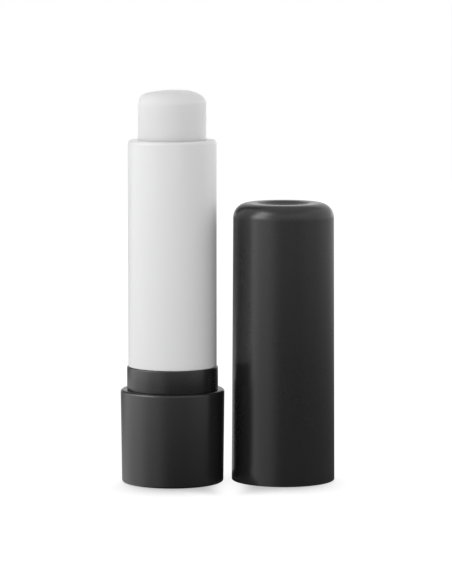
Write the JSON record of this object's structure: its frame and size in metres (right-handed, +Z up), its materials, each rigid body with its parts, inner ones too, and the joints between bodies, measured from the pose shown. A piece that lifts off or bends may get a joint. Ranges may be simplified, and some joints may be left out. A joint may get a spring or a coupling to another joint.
{
  "type": "lip balm stick",
  "caption": "Twist-up lip balm stick, open with its balm raised and its pull-off cap standing beside it; turning the base raises or lowers the balm.",
  "frame": {"origin": "the middle of the base's foot, on the stick's axis, on the surface that it stands on", "axes": "+Z up the stick's axis, +X from the stick towards the standing cap, +Y away from the picture's viewer"},
  "size_m": [0.0399, 0.0212, 0.0728],
  "materials": {
    "cap_black": "black moulded plastic, soft gloss",
    "base_black": "black moulded plastic, soft gloss",
    "collar_black": "black moulded plastic, satin",
    "sleeve_white": "white moulded plastic, semi-gloss",
    "inner_white": "white moulded plastic, satin",
    "natural_plastic": "uncoloured moulded plastic, satin",
    "wax": "slightly translucent white wax, soft sheen"
  },
  "bodies": {
    "tube": {"outer_sleeve": "sleeve_white", "inner_tube": "inner_white"},
    "base": {"base_shell": "base_black", "collar": "collar_black", "spindle": "natural_plastic"},
    "balm_carrier": {"elevator": "natural_plastic", "balm": "wax"},
    "cap": {"cap": "cap_black"}
  },
  "joints": [
    {"name": "base_turn", "type": "hinge", "parent": "tube", "child": "base", "pos_m": [0, 0, 0], "axis": [0, 0, 1], "range_deg": [-900, 2880]},
    {"name": "balm_rise", "type": "slide", "parent": "tube", "child": "balm_carrier", "axis": [0, 0, 1], "range_m": [-0.01, 0.032]},
    {"name": "cap_lift", "type": "slide", "parent": "tube", "child": "cap", "axis": [0, 0, 1], "range_m": [0, 0.056]}
  ],
  "couplings": [
    {"joint": "balm_rise", "follows": "base_turn", "m_per_rad": 0.00063662}
  ]
}
